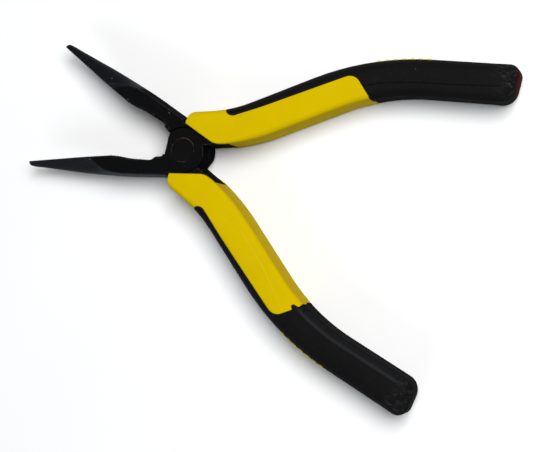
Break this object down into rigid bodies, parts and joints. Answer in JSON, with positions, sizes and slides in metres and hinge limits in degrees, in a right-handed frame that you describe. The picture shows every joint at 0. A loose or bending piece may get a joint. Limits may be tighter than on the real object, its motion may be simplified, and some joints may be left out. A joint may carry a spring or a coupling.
{
  "type": "needle nose pliers",
  "caption": "Small lap-joint needle nose pliers with tapered serrated jaws and two-material moulded grips, hinged on a flush rivet.",
  "frame": {"origin": "on the pivot axis, in the plane of the joint's underside, which is the rivet's lower face", "axes": "+X along the tool's centre line towards the handle ends, jaws towards -X; +Y towards the handle of the half that laps on top; +Z along the pivot axis, up from the side the tool lies on"},
  "size_m": [0.1186, 0.0894, 0.0115],
  "materials": {
    "black_steel": "forged steel, black phosphate, lightly worn",
    "rivet_steel": "black phosphated rivet ground flush, faint brassy wear ring",
    "yellow_plastic": "satin hard moulded polypropylene",
    "black_rubber": "soft overmoulded elastomer, matt",
    "mark_plastic": "raised moulded bars, satin"
  },
  "bodies": {
    "bottom_half": {"bottom_half_forging": "black_steel", "pivot_rivet": "rivet_steel", "bottom_half_grip_core": "yellow_plastic", "bottom_half_grip_sleeve": "black_rubber", "bottom_half_grip_marks": "mark_plastic"},
    "top_half": {"top_half_forging": "black_steel", "top_half_grip_core": "yellow_plastic", "top_half_grip_sleeve": "black_rubber", "top_half_grip_marks": "mark_plastic"}
  },
  "joints": [
    {"name": "pivot", "type": "hinge", "parent": "bottom_half", "child": "top_half", "pos_m": [0, 0, 0.0045], "axis": [0, 0, 1], "range_deg": [-41.3, 0]}
  ]
}
